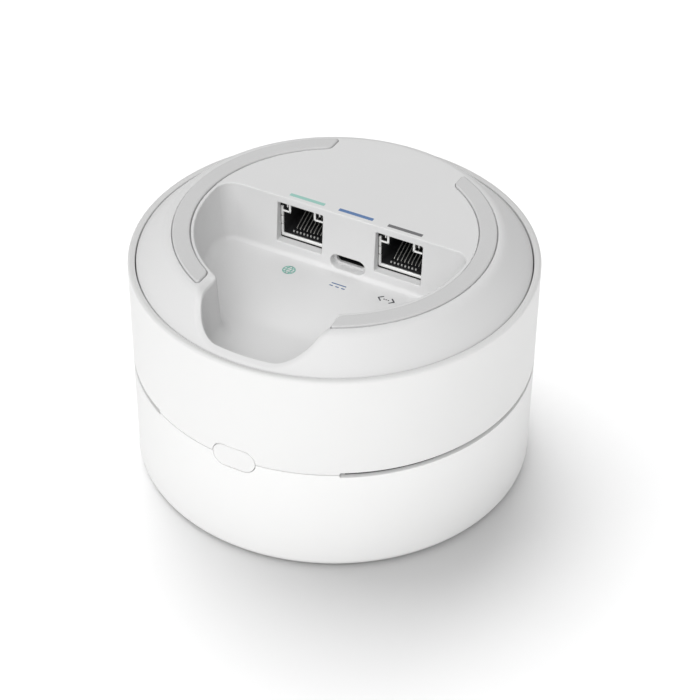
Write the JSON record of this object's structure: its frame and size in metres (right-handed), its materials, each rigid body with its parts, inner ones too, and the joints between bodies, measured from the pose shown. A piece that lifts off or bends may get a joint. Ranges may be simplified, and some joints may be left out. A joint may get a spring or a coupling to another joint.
{
  "type": "mesh wifi node",
  "caption": "Short round white mesh wifi node turned over to show its grey base, curved rubber feet, port bay with network and power sockets, cable notch, light slot and reset button.",
  "frame": {"origin": "centre of the underside of the crown, the face the node lies on when it is turned over to plug the cables in", "axes": "+Z from the crown towards the rubber feet and the port bay, -Y towards the cable notch and the reset button, X = 0 the plane the body is symmetric about. Stored turned over: in use it is flipped and stands on the two rubber feet"},
  "size_m": [0.1062, 0.1062, 0.0688],
  "materials": {
    "crown_cover": "satin white moulding",
    "side_sleeve": "satin white moulding",
    "base_plate": "fine-textured light grey moulding",
    "rubber": "matt grey rubber",
    "button_white": "satin white moulding",
    "light_pipe": "smoky translucent plastic, unlit",
    "steel": "tinned steel",
    "connector_black": "black moulded insert",
    "contact_gold": "gold-plated spring contacts",
    "circuit_board": "green solder mask",
    "chip_black": "moulded chip package",
    "cast_aluminium": "cast, unpainted",
    "pad": "soft thermal pad",
    "led": "clear lens, unlit",
    "cable_black": "thin jacketed wire",
    "carrier_plastic": "dark grey moulding"
  },
  "bodies": {
    "housing": {"antenna_carrier": "carrier_plastic", "antenna_plug_1": "contact_gold", "antenna_plug_2": "contact_gold", "antenna_plug_3": "contact_gold", "base_plate": "base_plate", "base_screw_1": "steel", "base_screw_2": "steel", "base_screw_3": "steel", "base_screw_4": "steel", "bluetooth_antenna": "contact_gold", "bluetooth_cable": "cable_black", "board_screw_1": "steel", "board_screw_2": "steel", "board_screw_3": "steel", "board_screw_4": "steel", "button_board": "circuit_board", "crown_cover": "crown_cover", "foot_left": "rubber", "foot_right": "rubber", "heat_sink": "cast_aluminium", "lan_jack_contacts": "contact_gold", "lan_jack_insert": "connector_black", "lan_jack_shell": "steel", "light_board": "circuit_board", "light_board_screw_1": "steel", "light_board_screw_2": "steel", "light_board_screw_3": "steel", "light_pipe_ring": "light_pipe", "main_board": "circuit_board", "memory_chip": "chip_black", "network_transformer": "chip_black", "power_inductor": "chip_black", "radio_shield_1": "steel", "radio_shield_2": "steel", "side_sleeve": "side_sleeve", "soc_chip": "chip_black", "status_led_1": "led", "status_led_2": "led", "status_led_3": "led", "status_led_4": "led", "storage_chip": "chip_black", "switch_body": "chip_black", "thermal_pad": "pad", "usb_c_shell": "steel", "usb_c_tongue": "connector_black", "wan_jack_contacts": "contact_gold", "wan_jack_insert": "connector_black", "wan_jack_shell": "steel", "wifi_antenna_1": "contact_gold", "wifi_antenna_2": "contact_gold", "wifi_cable_1": "cable_black", "wifi_cable_2": "cable_black"},
    "button": {"reset_button": "button_white", "switch_plunger": "carrier_plastic"}
  },
  "joints": [
    {"name": "reset_press", "type": "slide", "parent": "housing", "child": "button", "axis": [0, 1, 0], "range_m": [0, 0.0006], "stiffness_N_per_m": 800}
  ]
}
